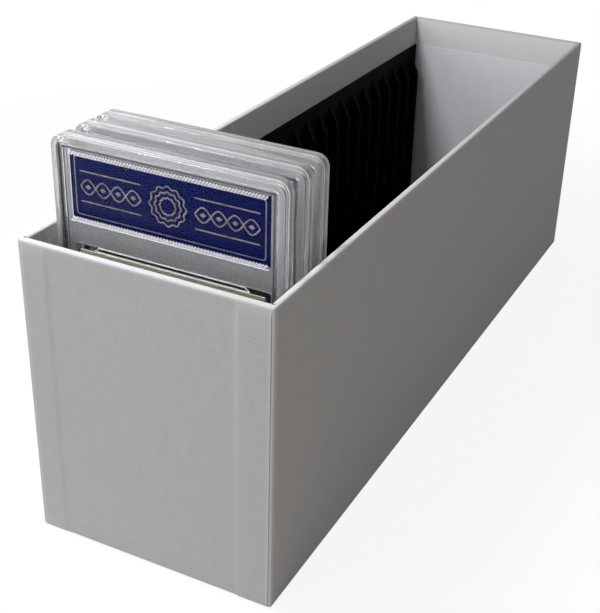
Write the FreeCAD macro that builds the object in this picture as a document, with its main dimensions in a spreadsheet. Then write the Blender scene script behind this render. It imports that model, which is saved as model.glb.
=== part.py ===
import FreeCAD, Part
import math
import operator
import os
from types import SimpleNamespace

import Sketcher
from FreeCAD import Vector

# Graded card storage box: an open, paper-wrapped chipboard box with ribbed slot rails and three clear slabs.
# Millimetres, +Z up. The origin is the centre of the underside and the front end is at -Y.

SIZES = {
    # Card and label
    "card_width": 66.7,          # card across
    "card_height": 92.4,         # card upright
    "card_thickness": 0.5,       # card stock
    "label_beyond_card": 1.75,   # label wider than the card, each side
    "label_height": 22.6,        # label upright
    "label_thickness": 0.3,      # label card
    # Slab
    "slab_thickness": 6.5,       # both halves together
    "slab_corner": 4,            # corner radius of the outline
    "slab_round": 0.6,           # rounding of the outer edges
    "rim_width": 2.4,            # raised rim
    "rim_drop": 0.7,             # rim above the field inside it
    "bevel_width": 1.5,          # sloped step from rim to field
    "window_drop": 0.25,         # windows below the field
    "window_corner": 1,          # corner radius of windows and card well
    "window_margin": 0.5,        # windows beyond the label
    "window_side": 1,            # field beside the windows
    "window_head": 0.4,          # field above the label window
    "window_divider": 2.55,      # field between the two windows
    "window_foot": 0.8,          # field below the card window
    "window_over_card": 7.65,    # card window above the card
    "window_under_card": 1.3,    # card window below the card
    "well_margin": 2.1,          # card well beyond the card
    "fit_gap": 0.3,              # label and locating bars clear of the edges
    "face_gap": 0.05,            # label and card clear of each half
    "bar_width": 1.6,            # locating bar
    "bar_top_end": 5.35,         # upper and lower bars stop short of the card's corners
    "bar_side_end": 11.6,        # side bars stop short of the card's corners
    # Slot rails
    "slot_play": 2.5,            # slot wider than the slab
    "slot_clearance": 0.4,       # slab face to the rib that it stands near
    "slab_side_gap": 1.25,       # slab edge to the rail's plate
    "rail_backing": 1,           # plate behind the ribs
    "rail_tail": 5,              # last rib to the rail's end, at least
    "rail_gap": 0.4,             # rail's end to the lining
    "rail_flat": 5,              # plain strip above the ribs
    "rail_slope": 9,             # height of the sloped lead-in
    "rib_root": 3,               # rib width at the plate
    "rib_crest": 2.2,            # rib width at the crest
    "rib_depth": 4.4,            # plate to crest
    "rib_ease": 0.5,             # chamfer along the crest
    # Box shell
    "box_length": 320,           # front end to rear end
    "box_height": 110.5,         # underside to rim
    "board_thickness": 2,        # chipboard of base and walls
    "paper_thickness": 0.25,     # wrapping, lining and stay paper
    "fold_radius": 0.5,          # outside radius of a paper fold
    "left_flap": 10.5,           # side paper carried round onto the ends, left
    "right_flap": 12.7,          # side paper carried round onto the ends, right
    "flap_drop": 1.7,            # top of the flaps below the rim
    "flap_lift": 1,              # foot of the flaps above the base board's underside
    "rim_lap": 0.5,              # end paper carried up past the top of the flaps
    "lap_ramp": 2.5,             # length in which an end paper steps down off a flap
    "cover_setback": 1.2,        # end paper stops short of the corner
    "lining_drop": 14,           # top of linings and rails below the rim
    "lining_lap": 4,             # linings and rails over the paper turned in at the rim
    "lining_gap": 0.3,           # side clearance of linings and floor liner
    "turn_under": 15,            # paper folded under the base
    "sheet_inset": 3,            # bottom sheet inside the footprint
    "stay_leg": 15,              # leg of a corner stay
    "stay_gap": 1,               # stay below the turned-in paper
    "floor_thickness": 2.5,      # floor liner
    # Modelling
    "cut_over": 1,               # how far a cut runs past what it removes
}

doc = FreeCAD.newDocument("graded_card_box")
sheet = doc.addObject("Spreadsheet::Sheet", "Sizes")
for row, (alias, value) in enumerate(SIZES.items(), 1):
    sheet.set(f"A{row}", alias)
    sheet.set(f"B{row}", str(value))
    sheet.setAlias(f"B{row}", alias)
doc.recompute()

SIGNS = {"+": operator.add, "-": operator.sub, "*": operator.mul, "/": operator.truediv}


class Size:
    """A length known both as a number and as the sheet expression that gives it."""

    def __init__(self, value, text=None):
        self.value = float(value)
        self.text = text or repr(float(value))

    def joined(self, sign, other):
        other = as_size(other)
        return Size(SIGNS[sign](self.value, other.value), f"({self.text} {sign} {other.text})")

    def __add__(self, other):
        return self.joined("+", other)

    def __sub__(self, other):
        return self.joined("-", other)

    def __mul__(self, other):
        return self.joined("*", other)

    def __truediv__(self, other):
        return self.joined("/", other)

    def __neg__(self):
        return Size(-self.value, f"(-1 * {self.text})")

    def __floor__(self):
        return Size(math.floor(self.value), f"floor({self.text})")


def as_size(value):
    return value if isinstance(value, Size) else Size(value)


size = SimpleNamespace(**{alias: Size(value, f"Sizes.{alias}") for alias, value in SIZES.items()})


def bind(feature, path, value):
    feature.setExpression(path, as_size(value).text)


def new_body(label):
    body = doc.addObject("PartDesign::Body", label)
    body.Label = label
    return body


def origin_part(body, role):
    return next(part for part in body.Origin.OriginFeatures if part.Role == role)


def outline(sketch, corners):
    """Draws a closed outline; a square corner with a third value is rounded by that radius."""
    count = len(corners)
    first = sketch.GeometryCount
    spots = [Vector(as_size(corner[0]).value, as_size(corner[1]).value, 0) for corner in corners]
    rounds = [as_size(corner[2]).value if len(corner) > 2 else 0.0 for corner in corners]
    ways = []
    for i in range(count):
        back = (spots[i - 1] - spots[i]).normalize()
        ahead = (spots[(i + 1) % count] - spots[i]).normalize()
        ways.append((back, ahead))
    lines = []
    for i in range(count):
        j = (i + 1) % count
        lines.append(Part.LineSegment(spots[i] + ways[i][1] * rounds[i], spots[j] + ways[j][0] * rounds[j]))
    sketch.addGeometry(lines, False)

    rules = []
    bound = []

    def hold(kind, line, value):
        bound.append((len(rules), as_size(value)))
        rules.append(Sketcher.Constraint(kind, -1, 1, line, 1, as_size(value).value))

    for i, corner in enumerate(corners):
        into = first + (i - 1) % count
        away = first + i
        if not rounds[i]:
            rules.append(Sketcher.Constraint("Coincident", into, 2, away, 1))
            hold("DistanceX", away, corner[0])
            hold("DistanceY", away, corner[1])
            continue
        back, ahead = ways[i]
        centre = spots[i] + (back + ahead) * rounds[i]
        turns_left = back.cross(ahead).z < 0
        start = -ahead if turns_left else -back
        angle = start.getAngle(Vector(1, 0, 0)) * (1 if start.y >= 0 else -1)
        circle = Part.Circle(centre, Vector(0, 0, 1), rounds[i])
        arc = sketch.addGeometry(Part.ArcOfCircle(circle, angle, angle + math.pi / 2), False)
        near, far = (1, 2) if turns_left else (2, 1)
        rules.append(Sketcher.Constraint("Tangent", into, 2, arc, near))
        rules.append(Sketcher.Constraint("Tangent", arc, far, away, 1))
        bound.append((len(rules), as_size(corner[2])))
        rules.append(Sketcher.Constraint("Radius", arc, rounds[i]))
    for i in range(count):
        j = (i + 1) % count
        if not (rounds[i] or rounds[j]):
            continue
        upright = abs(spots[i].x - spots[j].x) < abs(spots[i].y - spots[j].y)
        rules.append(Sketcher.Constraint("Vertical" if upright else "Horizontal", first + i))
        if rounds[i] and rounds[j]:
            hold("DistanceX" if upright else "DistanceY", first + i, corners[i][0 if upright else 1])
    start_index = sketch.ConstraintCount
    sketch.addConstraint(rules)
    for index, value in bound:
        sketch.setExpression(f"Constraints[{start_index + index}]", value.text)


def sketch_on(body, role, outlines, level=0):
    """A sketch on one of the body's origin planes, moved along the plane's normal to a level."""
    sketch = body.newObject("Sketcher::SketchObject", f"{body.Name}_sketch")
    sketch.AttachmentSupport = (origin_part(body, role), [""])
    sketch.MapMode = "FlatFace"
    bind(sketch, "AttachmentOffset.Base.z", level)
    for corners in outlines:
        outline(sketch, corners)
    return sketch


def extrude(kind, body, role, outlines, length, level=0, symmetric=False, flipped=False):
    """Pads or pockets the outlines by a length; the body then ends with this feature."""
    sketch = sketch_on(body, role, outlines, level)
    feature = body.newObject(f"PartDesign::{kind}", f"{body.Name}_{kind.lower()}")
    feature.Profile = sketch
    feature.SideType = "Symmetric" if symmetric else "One side"
    feature.Reversed = flipped
    bind(feature, "Length", length)
    body.Tip = feature
    return feature


def rectangle(low_x, low_y, high_x, high_y, radius=None):
    corners = [(low_x, low_y), (high_x, low_y), (high_x, high_y), (low_x, high_y)]
    return [(*corner, radius) for corner in corners] if radius else corners


def mirrored(source, label, normal, level=0):
    """The mirror image of a piece in a plane square to X or Y."""
    image = doc.addObject("Part::Mirroring", label)
    image.Label = label
    image.Source = source
    image.Normal = normal
    bind(image, "Base.y", level)
    return image


ACROSS = Vector(1, 0, 0)
ALONG = Vector(0, 1, 0)

# The card and its label set the slab, counted from the slab's bottom edge and its middle.
field_edge = size.rim_width + size.bevel_width
half_card = size.card_width / 2
half_label = half_card + size.label_beyond_card
half_window = half_label + size.window_margin
half_slab = half_window + size.window_side + field_edge
half_depth = size.slab_thickness / 2
card_low = field_edge + size.window_foot + size.window_under_card
card_high = card_low + size.card_height
label_low = card_high + size.window_over_card + size.window_divider + size.window_margin
label_high = label_low + size.label_height
slab_height = label_high + size.window_margin + size.window_head + field_edge
label_well = size.label_thickness / 2 + size.face_gap
card_well = size.card_thickness / 2 + size.face_gap

# Planes on the left that several pieces share, from the slabs out.
plate_face = -half_slab - size.slab_side_gap
crest_face = plate_face + size.rib_depth
left_lining = plate_face - size.rail_backing
left_inner = left_lining - size.paper_thickness
left_board = left_inner - size.board_thickness
left_face = left_board - size.paper_thickness

# Planes on the front, from the outside in, and the row of ribs that fits between the ends.
front_face = -size.box_length / 2
front_flap = front_face + size.paper_thickness
front_board = front_flap + size.paper_thickness
front_inner = front_board + size.board_thickness
front_turned = front_inner + size.paper_thickness
lining_face = front_turned + size.paper_thickness
rail_front = lining_face + size.rail_gap
rib_pitch = size.slab_thickness + size.slot_play + size.rib_root
rib_count = math.floor(-(rail_front + size.rail_tail) * 2 / rib_pitch) + 1
first_rib = -(rib_count - 1) * rib_pitch / 2

# Levels, from the underside up.
under_paper = size.paper_thickness
under_board = under_paper + size.paper_thickness
base_top = under_board + size.board_thickness
floor_top = base_top + size.floor_thickness
rim = size.box_height
board_top = rim - size.paper_thickness
lining_top = rim - size.lining_drop
turned_low = lining_top - size.lining_lap
rib_top = lining_top - size.rail_flat

# Chipboard: the base carries the long walls, and the end walls stand between those.
base_board = new_body("base_board")
extrude("Pad", base_board, "XY_Plane", [rectangle(left_board, front_board, -left_board, -front_board)],
        size.board_thickness, level=under_board)
left_side_board = new_body("left_side_board")
extrude("Pad", left_side_board, "XY_Plane", [rectangle(left_board, front_board, left_inner, -front_board)],
        board_top - base_top, level=base_top)
front_end_board = new_body("front_end_board")
extrude("Pad", front_end_board, "XY_Plane", [rectangle(left_inner, front_board, -left_inner, front_inner)],
        board_top - base_top, level=base_top)
right_side_board = mirrored(left_side_board, "right_side_board", ACROSS)
rear_end_board = mirrored(front_end_board, "rear_end_board", ALONG)

# Corner stays: paper tape folded into the four inner corners, below the turn-ins.
stay = new_body("front_left_stay")
extrude("Pad", stay, "XY_Plane", [[
    (left_inner, front_inner),
    (left_inner + size.stay_leg, front_inner),
    (left_inner + size.stay_leg, front_turned),
    (left_lining, front_turned),
    (left_lining, front_inner + size.stay_leg),
    (left_inner, front_inner + size.stay_leg),
]], turned_low - size.stay_gap - base_top, level=base_top)
right_stay = mirrored(stay, "front_right_stay", ACROSS)
rear_stay = mirrored(stay, "rear_left_stay", ALONG)
far_stay = mirrored(right_stay, "rear_right_stay", ALONG)
corner_stays = doc.addObject("Part::Compound", "corner_stays")
corner_stays.Links = [stay, right_stay, rear_stay, far_stay]


def side_cover(label, flap):
    """Left wrapping paper: under the base, up the wall, over the rim, down inside, and round both ends."""
    body = new_body(label)
    extrude("Pad", body, "XZ_Plane", [[
        (left_face + size.turn_under, under_paper),
        (left_face, under_paper, size.fold_radius),
        (left_face, rim, size.fold_radius),
        (left_lining, rim, size.fold_radius),
        (left_lining, turned_low),
        (left_inner, turned_low),
        (left_inner, board_top),
        (left_board, board_top),
        (left_board, under_board),
        (left_face + size.turn_under, under_board),
    ]], -(front_flap + size.fold_radius) * 2, symmetric=True)
    # The turn-in stops short of the end walls, where their own turn-ins lie.
    end_cuts = [
        rectangle(left_inner, front_board - size.cut_over, left_lining + size.cut_over, front_turned),
        rectangle(left_inner, -front_turned, left_lining + size.cut_over, size.cut_over - front_board),
    ]
    extrude("Pocket", body, "XY_Plane", end_cuts, rim - turned_low, level=board_top)
    extrude("Pad", body, "XY_Plane", [[
        (left_face + flap, front_flap),
        (left_face, front_flap, size.fold_radius),
        (left_face, -front_flap, size.fold_radius),
        (left_face + flap, -front_flap),
        (left_face + flap, -front_board),
        (left_board, -front_board),
        (left_board, front_board),
        (left_face + flap, front_board),
    ]], rim - size.flap_drop - under_board - size.flap_lift, level=under_board + size.flap_lift)
    return body


left_cover = side_cover("left_cover", size.left_flap)
right_cover = mirrored(side_cover("right_cover_source", size.right_flap), "right_cover", ACROSS)

# End paper: it lies on the flaps at both sides and steps down to the board between them.
front_cover = new_body("front_cover")
left_end = left_face + size.cover_setback
right_end = -left_face - size.cover_setback
left_step = left_face + size.left_flap
right_step = -left_face - size.right_flap
extrude("Pad", front_cover, "XY_Plane", [[
    (left_end, front_face),
    (left_step, front_face),
    (left_step + size.lap_ramp, front_flap),
    (right_step - size.lap_ramp, front_flap),
    (right_step, front_face),
    (right_end, front_face),
    (right_end, front_flap),
    (right_step, front_flap),
    (right_step - size.lap_ramp, front_board),
    (left_step + size.lap_ramp, front_board),
    (left_step, front_flap),
    (left_end, front_flap),
]], rim - size.flap_drop + size.rim_lap - under_paper, level=under_paper)
extrude("Pad", front_cover, "YZ_Plane", [[
    (front_flap, rim - size.flap_drop),
    (front_flap, rim, size.fold_radius),
    (front_turned, rim, size.fold_radius),
    (front_turned, turned_low),
    (front_inner, turned_low),
    (front_inner, board_top),
    (front_board, board_top),
    (front_board, rim - size.flap_drop),
]], -left_lining * 2, symmetric=True)
extrude("Pad", front_cover, "XY_Plane", [
    rectangle(left_face + size.turn_under, front_flap,
              -left_face - size.turn_under, front_face + size.turn_under),
], size.paper_thickness, level=under_paper)
rear_cover = mirrored(front_cover, "rear_cover", ALONG)

bottom_sheet = new_body("bottom_sheet")
extrude("Pad", bottom_sheet, "XY_Plane", [
    rectangle(left_face + size.sheet_inset, front_face + size.sheet_inset,
              -left_face - size.sheet_inset, -front_face - size.sheet_inset),
], size.paper_thickness)

# Inner linings lie on the turn-ins and stays, and stand on the floor liner.
floor_liner = new_body("floor_liner")
extrude("Pad", floor_liner, "XY_Plane", [
    rectangle(left_lining + size.lining_gap, front_turned + size.lining_gap,
              -left_lining - size.lining_gap, -front_turned - size.lining_gap),
], size.floor_thickness, level=base_top)
front_lining = new_body("front_lining")
extrude("Pad", front_lining, "XY_Plane", [
    rectangle(left_lining + size.lining_gap, front_turned,
              -left_lining - size.lining_gap, lining_face),
], lining_top - floor_top, level=floor_top)
rear_lining = mirrored(front_lining, "rear_lining", ALONG)

# Slot rail: a plate with tapered ribs, whose tops slope into the plate as lead-ins for the slabs.
left_slot_rail = new_body("left_slot_rail")
extrude("Pad", left_slot_rail, "XY_Plane", [rectangle(left_lining, rail_front, plate_face, -rail_front)],
        lining_top - floor_top, level=floor_top)
rib = extrude("Pad", left_slot_rail, "XY_Plane", [[
    (left_lining + size.rail_backing / 2, first_rib - size.rib_root / 2),
    (plate_face, first_rib - size.rib_root / 2),
    (crest_face - size.rib_ease, first_rib - size.rib_crest / 2),
    (crest_face, first_rib - size.rib_crest / 2 + size.rib_ease),
    (crest_face, first_rib + size.rib_crest / 2 - size.rib_ease),
    (crest_face - size.rib_ease, first_rib + size.rib_crest / 2),
    (plate_face, first_rib + size.rib_root / 2),
    (left_lining + size.rail_backing / 2, first_rib + size.rib_root / 2),
]], rib_top - floor_top, level=floor_top)
rib_row = left_slot_rail.newObject("PartDesign::LinearPattern", "rib_row")
rib_row.Originals = [rib]
rib_row.Direction = (origin_part(left_slot_rail, "Y_Axis"), [""])
rib_row.Mode = "Spacing"
bind(rib_row, "Offset", rib_pitch)
bind(rib_row, "Occurrences", rib_count)
left_slot_rail.Tip = rib_row
past_crest = crest_face + size.cut_over
slope_end = rib_top - size.rail_slope * (size.rib_depth + size.cut_over) / size.rib_depth
extrude("Pocket", left_slot_rail, "XZ_Plane", [[
    (plate_face, rib_top),
    (past_crest, slope_end),
    (past_crest, rib_top + size.cut_over),
    (plate_face, rib_top + size.cut_over),
]], -rail_front * 2, symmetric=True)
right_slot_rail = mirrored(left_slot_rail, "right_slot_rail", ACROSS)


def locating_bars():
    """Four bars with mitred ends, standing in the card well just outside the card's edges."""
    bars = []
    end = half_card - size.bar_top_end
    for near, out in ((card_high + size.fit_gap, size.bar_width), (card_low - size.fit_gap, -size.bar_width)):
        bars.append([
            (-end, near),
            (end, near),
            (end - size.bar_width, near + out),
            (size.bar_width - end, near + out),
        ])
    low = card_low + size.bar_side_end
    high = card_high - size.bar_side_end
    near_x = half_card + size.fit_gap
    for near, out in ((near_x, size.bar_width), (-near_x, -size.bar_width)):
        bars.append([
            (near, low),
            (near + out, low + size.bar_width),
            (near + out, high - size.bar_width),
            (near, high),
        ])
    return bars


def front_shell(label):
    """Front half of a slab: rim, bevelled field and two windows outside, label and card wells inside."""
    body = new_body(label)
    slab_outline = rectangle(-half_slab, 0, half_slab, slab_height, size.slab_corner)
    blank = extrude("Pad", body, "XZ_Plane", [slab_outline], half_depth)
    doc.recompute()
    outer_edges = []
    for number, edge in enumerate(blank.Shape.Edges, 1):
        if edge.BoundBox.YMax < -half_depth.value + 0.001:
            outer_edges.append(f"Edge{number}")
    rounding = body.newObject("PartDesign::Fillet", f"{body.Name}_fillet")
    rounding.Base = (blank, outer_edges)
    bind(rounding, "Radius", size.slab_round)
    body.Tip = rounding

    rim_inside = rectangle(size.rim_width - half_slab, size.rim_width,
                           half_slab - size.rim_width, slab_height - size.rim_width,
                           size.slab_corner - size.rim_width)
    field = rectangle(field_edge - half_slab, field_edge,
                      half_slab - field_edge, slab_height - field_edge,
                      (size.slab_corner - size.rim_width) / 2)
    bevel = body.newObject("PartDesign::SubtractiveLoft", f"{body.Name}_bevel")
    bevel.Profile = sketch_on(body, "XZ_Plane", [rim_inside], half_depth)
    bevel.Sections = [sketch_on(body, "XZ_Plane", [field], half_depth - size.rim_drop)]
    bevel.Ruled = True
    body.Tip = bevel

    windows = [
        rectangle(-half_window, label_low - size.window_margin,
                  half_window, label_high + size.window_margin, size.window_corner),
        rectangle(-half_window, card_low - size.window_under_card,
                  half_window, card_high + size.window_over_card, size.window_corner),
    ]
    extrude("Pocket", body, "XZ_Plane", windows, size.window_drop, level=half_depth - size.rim_drop)

    label_edge = half_label + size.fit_gap
    label_outline = rectangle(-label_edge, label_low - size.fit_gap, label_edge, label_high + size.fit_gap)
    extrude("Pocket", body, "XZ_Plane", [label_outline], label_well, flipped=True)
    well_edge = half_card + size.well_margin
    well_outline = rectangle(-well_edge, card_low - size.well_margin,
                             well_edge, card_high + size.well_margin, size.window_corner)
    extrude("Pocket", body, "XZ_Plane", [well_outline], card_well, flipped=True)
    extrude("Pad", body, "XZ_Plane", locating_bars(), card_well)
    return body


def plain_sheet(label, half_width, low, high, thickness):
    body = new_body(label)
    outline_points = rectangle(-half_width, low, half_width, high)
    extrude("Pad", body, "XZ_Plane", [outline_points], thickness, symmetric=True)
    return body


# A slab stands on the floor liner, near the rear (1) or the front (-1) of the two ribs of its slot.
SLAB_SIDES = (1, 1, -1)
off_centre = size.slot_play / 2 - size.slot_clearance
slab_pieces = []
for number, side in enumerate(SLAB_SIDES, 1):
    slab_y = first_rib + rib_pitch * number - rib_pitch / 2 + off_centre * side
    front = front_shell(f"slab_{number}_front_shell")
    label = plain_sheet(f"slab_{number}_label", half_label, label_low, label_high, size.label_thickness)
    card = plain_sheet(f"slab_{number}_card", half_card, card_low, card_high, size.card_thickness)
    for piece in (front, label, card):
        bind(piece, "Placement.Base.y", slab_y)
        bind(piece, "Placement.Base.z", floor_top)
    rear = mirrored(front, f"slab_{number}_rear_shell", ALONG, level=slab_y)
    slab_pieces += [front, rear, label, card]

doc.recompute()

box_pieces = [
    base_board, left_side_board, right_side_board, front_end_board, rear_end_board, corner_stays,
    left_cover, right_cover, front_cover, rear_cover, bottom_sheet, front_lining, rear_lining,
    left_slot_rail, right_slot_rail, floor_liner,
]

for thing in doc.Objects:
    if {"Invalid", "Error"} & set(thing.State):
        raise RuntimeError(f"{thing.Label} is in state {thing.State}")

os.makedirs("parts", exist_ok=True)
for piece in box_pieces + slab_pieces:
    shape = piece.Shape
    if shape.isNull() or not shape.isValid() or not shape.Solids:
        raise RuntimeError(f"{piece.Label} has no valid solid")
    shape.exportStep(f"parts/{piece.Label}.step")
    print(f"{piece.Label}: {len(shape.Solids)} solid(s), {shape.Volume:.1f} mm3")
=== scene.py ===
# %% [markdown]
# A long open box, wrapped in silver-grey paper, keeps clear card slabs upright between two ribbed black
# rails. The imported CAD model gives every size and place, and this lesson dresses it. The CAD box is
# measured first, so that the looks can be held against it.

# %% The frame
import math

import bmesh
import bpy
from mathutils import Matrix, Vector, noise


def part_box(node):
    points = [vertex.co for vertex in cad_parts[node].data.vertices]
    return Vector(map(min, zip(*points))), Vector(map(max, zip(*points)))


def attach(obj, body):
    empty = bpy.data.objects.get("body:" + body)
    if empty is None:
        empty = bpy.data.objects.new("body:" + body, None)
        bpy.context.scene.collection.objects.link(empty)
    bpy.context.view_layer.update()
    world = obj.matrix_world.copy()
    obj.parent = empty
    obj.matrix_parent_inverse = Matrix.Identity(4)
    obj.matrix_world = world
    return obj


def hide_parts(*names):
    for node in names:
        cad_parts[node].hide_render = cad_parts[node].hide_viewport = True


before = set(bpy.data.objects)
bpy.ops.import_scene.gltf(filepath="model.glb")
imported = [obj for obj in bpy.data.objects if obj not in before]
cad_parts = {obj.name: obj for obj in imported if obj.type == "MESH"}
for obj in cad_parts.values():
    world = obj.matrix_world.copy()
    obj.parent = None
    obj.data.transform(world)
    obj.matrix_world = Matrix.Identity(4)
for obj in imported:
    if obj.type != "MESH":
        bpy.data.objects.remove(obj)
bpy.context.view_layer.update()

MM = 0.001


# %% [markdown]
# Pieces are drawn in millimetres, as the box was measured, and turned to metres at the end. A finished
# piece rides on a body of the CAD model, stands for the CAD nodes that it replaces, and has its finishes
# given. A CAD node whose shape is right stays, and is only dressed.

# %% Helpers for pieces
def mesh_of(name, bm):
    """Turns a drawing in millimetres into a mesh in metres."""
    bmesh.ops.scale(bm, vec=(MM, MM, MM), verts=bm.verts)
    mesh = bpy.data.meshes.new(name)
    bm.to_mesh(mesh)
    bm.free()
    return mesh


def placed(name, data):
    """Puts a mesh, a lens or a light into the scene."""
    made = bpy.data.objects.new(name, data)
    bpy.context.scene.collection.objects.link(made)
    return made


def settled(draft):
    """The mesh that a draft's modifiers make; the draft goes."""
    mesh = bpy.data.meshes.new_from_object(draft.evaluated_get(bpy.context.evaluated_depsgraph_get()))
    bpy.data.objects.remove(draft)
    return mesh


def finished(name, mesh, finishes, body, nodes=(), sharp=35):
    """Makes a mesh a piece of one body; edges that turn more than sharp degrees stay crisp."""
    for i, finish in enumerate(finishes):
        if i < len(mesh.materials):
            mesh.materials[i] = finish
        else:
            mesh.materials.append(finish)
    mesh.shade_smooth()
    mesh.set_sharp_from_angle(angle=math.radians(sharp))
    piece = placed(name, mesh)
    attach(piece, body)
    if nodes:
        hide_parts(*nodes)
    print(name, "has", len(mesh.polygons), "faces")


def dress(node, finish):
    """Gives a CAD node, whose shape stays, a better finish."""
    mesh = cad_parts[node].data
    mesh.materials.clear()
    mesh.materials.append(finish)


def corners(node):
    """Lowest and highest corner of a CAD node in millimetres."""
    low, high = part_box(node)
    return low / MM, high / MM


print("left rail from", *corners("left_slot_rail"))


# %% Helpers for shapes
def mixed(low, high, share):
    return low + (high - low) * share


def steps(low, high, count):
    """Even steps from low to high, both included."""
    return [mixed(low, high, i / count) for i in range(count + 1)]


def quarter(radius, count):
    """Points on a quarter circle, as (rise, run)."""
    turns = [math.radians(90 * i / count) for i in range(count + 1)]
    return [(radius * math.sin(turn), radius * math.cos(turn)) for turn in turns]


def smooth(low, high, value):
    """Rises from 0 at low to 1 at high with level ends."""
    share = min(max((value - low) / (high - low), 0), 1)
    return share * share * (3 - 2 * share)


def bridge(bm, first, second, finish=0, closed=True):
    """Joins two rows of corners with faces, all round or from end to end."""
    count = len(first)
    for i in range(count if closed else count - 1):
        j = (i + 1) % count
        face = bm.faces.new((first[i], first[j], second[j], second[i]))
        face.material_index = finish


print("three steps from 0 to 6:", steps(0, 6, 3))


# %% [markdown]
# Materials are built from nodes. One function adds a node, sets its properties, and gives each input a
# value or a link. Most surfaces vary a little in tone at one real size: a fibre, a grain, a scuff. A
# picture could show that, but noise on Object coordinates keeps its size in millimetres and has no seams.

# %% Helpers for materials
def put(tree, kind, inputs=None, **settings):
    """Adds a node; an input gets a plain value, or a link from a socket or a node's first live output."""
    node = tree.nodes.new(kind)
    for name, value in settings.items():
        setattr(node, name, value)
    for key, value in (inputs or {}).items():
        if isinstance(value, bpy.types.Node):
            value = next(output for output in value.outputs if output.enabled)
        if isinstance(value, bpy.types.NodeSocket):
            tree.links.new(value, node.inputs[key])
        else:
            node.inputs[key].default_value = value
    return node


def linear(text):
    """The linear colour of an sRGB hex value, as a paint program shows it."""
    parts = [int(text[i:i + 2], 16) / 255 for i in (1, 3, 5)]
    return [part / 12.92 if part <= 0.04045 else ((part + 0.055) / 1.055) ** 2.4 for part in parts] + [1]


def per_mm(size):
    """Texture scale for features of about this size in millimetres."""
    return 1 / (size * MM)


def new_material(name):
    """An empty material, its tree and the Object coordinates in it."""
    made = bpy.data.materials.new(name)
    made.use_nodes = True
    tree = made.node_tree
    tree.nodes.clear()
    return made, tree, put(tree, "ShaderNodeTexCoord").outputs["Object"]


def mottle(tree, place, size, detail, dark, pale, span=(0, 1), roughness=0.5):
    """Noise of a size in millimetres, and its tone between two colours."""
    cells = put(tree, "ShaderNodeTexNoise", {
        "Vector": place, "Scale": per_mm(size), "Detail": detail, "Roughness": roughness})
    tone = put(tree, "ShaderNodeValToRGB", {"Fac": cells})
    for element, position, colour in zip(tone.color_ramp.elements, span, (dark, pale)):
        element.position = position
        element.color = linear(colour)
    return cells, tone


print("mid grey in linear light:", [round(part, 3) for part in linear("#808080")])


# %% [markdown]
# The wrap is an embossed, pearl-coated paper. Its press left a fine pebble, about 0.7 mm across, which
# breaks up highlights, and its fibres drew out faint upright clouds. Where it is creased over the rim and
# round the corners it shows paler: partly a thinned coat, partly a painted highlight. Its turn-ins inside
# the box are painted paler too, as painted light. The pebble is too shallow to be worth a mesh, so it is a
# bump. Only the mesh knows where the paler parts are, so it carries them as an attribute.

# %% Embossed pearl paper
def pearl_paper(name, plain, cloud, worn_and_lit, cloud_stretch):
    made, tree, place = new_material(name)
    pebble = put(tree, "ShaderNodeTexNoise", {"Vector": place, "Scale": per_mm(0.7), "Detail": 3})
    drawn = put(tree, "ShaderNodeMapping", {"Vector": place, "Scale": cloud_stretch})
    clouds, tone = mottle(tree, drawn, 5, 7, cloud, plain, (0.3, 0.7), roughness=0.75)
    # Paler share: a worn coat and a painted highlight on the folds, painted light on the turn-ins.
    wear_and_light = put(tree, "ShaderNodeAttribute", attribute_name="wear_and_light")
    pebble_break = put(tree, "ShaderNodeMapRange", {"Value": pebble, "To Min": 0.8, "To Max": 1})
    worn = put(tree, "ShaderNodeMath", {0: wear_and_light.outputs["Fac"], 1: pebble_break},
               operation="MULTIPLY", use_clamp=True)
    colour = put(tree, "ShaderNodeMix", {"Factor": worn, "A": tone, "B": linear(worn_and_lit)}, data_type="RGBA")
    gloss = put(tree, "ShaderNodeMapRange", {"Value": clouds, "To Min": 0.6, "To Max": 0.75})
    relief = put(tree, "ShaderNodeBump", {"Height": pebble, "Strength": 0.7, "Distance": 0.14 * MM})
    shader = put(tree, "ShaderNodeBsdfPrincipled", {
        "Base Color": colour, "Roughness": gloss, "IOR": 1.47, "Specular IOR Level": 0.02, "Normal": relief})
    put(tree, "ShaderNodeOutputMaterial", {"Surface": shader})
    return made


# The third colour is the paler paper: worn coat and painted highlight on folds, painted light inside.
wrap_paper = pearl_paper("embossed_pearl_paper", "#A7AAAB", "#A1A4A6", "#E0E1E4", (1, 1, 0.6))
lining_paper = pearl_paper("smooth_lining_paper", "#D0D2D6", "#C9CBD0", "#E6E6E6", (1, 1, 1))
print("papers:", wrap_paper.name, lining_paper.name)


# %% [markdown]
# Each paper is one sheet, folded. A sheet is drawn as a grid: its rows follow the fold profile, its
# columns run along the box, and faces are left out where the real sheet is notched. Solidify then gives
# it the thickness of paper, inwards. A bevelled block would be less work, but only sheets show how they
# lap at the corners. Folds get a true radius of 0.8 mm, which catches the light as a bright line.

# %% Sizes of the wrap, from the frame
PAPER = 0.25
FOLD = 0.8
FOLD_STEPS = 5
SETBACK = 1.2
LEFT_FLAP = 10.5
RIGHT_FLAP = 12.7
TURN_UNDER = 15
FLAP_TOP_DROP = 1.7
FLAP_FOOT = 1.5
LAP_TOP = 2.6
FLAT_MARGIN = 4
FLAT_ROWS = 14
FLAT_EASE = 8
TUCK = 4
CLOSE = 0.001

left_low, left_high = corners("left_cover")
HALF_WIDTH = -left_low.x
SIDE_END = -left_low.y
RIM = left_high.z
UNDER = left_low.z
WALL = HALF_WIDTH + corners("left_slot_rail")[0].x
TURN_IN_LOW = corners("left_slot_rail")[1].z - TUCK
print("box", HALF_WIDTH * 2, "x", SIDE_END * 2, "x", RIM, "wall with papers", round(WALL, 3))


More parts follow.
